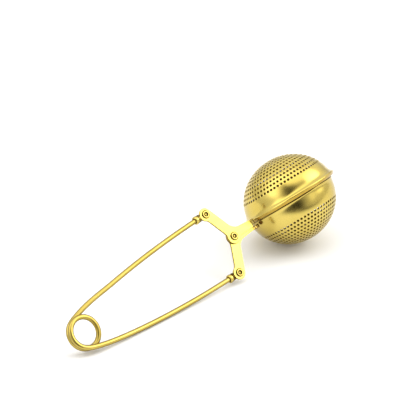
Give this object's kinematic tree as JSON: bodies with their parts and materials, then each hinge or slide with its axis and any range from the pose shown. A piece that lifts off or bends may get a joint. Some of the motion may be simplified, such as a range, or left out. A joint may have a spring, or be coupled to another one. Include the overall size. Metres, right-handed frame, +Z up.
{
  "type": "tea infuser",
  "caption": "Ball-shaped loose-leaf tea infuser: perforated half shells on crossed levers, opened by squeezing a wire spring handle.",
  "frame": {"origin": "centre of the bounding box in plan, at the table the infuser lies on", "axes": "+Z up from the table, +X along the handle from the coil towards the ball, in the pose in which it lies at rest"},
  "size_m": [0.1756, 0.0492, 0.0491],
  "materials": {
    "shell_metal": "satin gold",
    "lever_metal": "polished gold",
    "rivet_metal": "polished gold",
    "fitting_metal": "polished gold",
    "spring_wire": "bright drawn gold wire"
  },
  "bodies": {
    "pivot": {"pivot_rivet": "rivet_metal"},
    "upper_jaw": {"upper_lever": "lever_metal", "upper_shell": "shell_metal", "upper_rivet": "rivet_metal"},
    "lower_jaw": {"lower_lever": "lever_metal", "lower_shell": "shell_metal", "lower_rivet": "rivet_metal"},
    "lower_arm": {"lower_end_fitting": "fitting_metal", "spring_lower_arm": "spring_wire"},
    "upper_arm": {"upper_end_fitting": "fitting_metal", "spring_upper_arm": "spring_wire"}
  },
  "joints": [
    {"name": "jaw_open", "type": "hinge", "parent": "pivot", "child": "upper_jaw", "pos_m": [0.01727, -0.0002, 0.01961], "axis": [-0.0714, -0.7955, 0.6018], "range_deg": [0, 35], "stiffness_Nm_per_rad": 0.05, "springref_deg": -34.38},
    {"name": "lower_jaw_open", "type": "hinge", "parent": "pivot", "child": "lower_jaw", "pos_m": [0.01727, -0.0002, 0.01961], "axis": [-0.0714, -0.7955, 0.6018], "range_deg": [-35, 0]},
    {"name": "lower_arm_pivot", "type": "hinge", "parent": "lower_jaw", "child": "lower_arm", "pos_m": [0.01104, -0.00925, 0.00417], "axis": [-0.0714, -0.7955, 0.6018], "range_deg": [0, 39.89]},
    {"name": "coil_flex", "type": "hinge", "parent": "lower_arm", "child": "upper_arm", "pos_m": [-0.07967, -0.0002, 0.0081], "axis": [-0.0714, -0.7955, 0.6018], "range_deg": [-9.76, 0]}
  ],
  "couplings": [
    {"joint": "lower_jaw_open", "follows": "jaw_open", "ratio": -1},
    {"joint": "lower_arm_pivot", "follows": "jaw_open", "ratio": 1.1393},
    {"joint": "coil_flex", "follows": "jaw_open", "ratio": -0.27869}
  ]
}
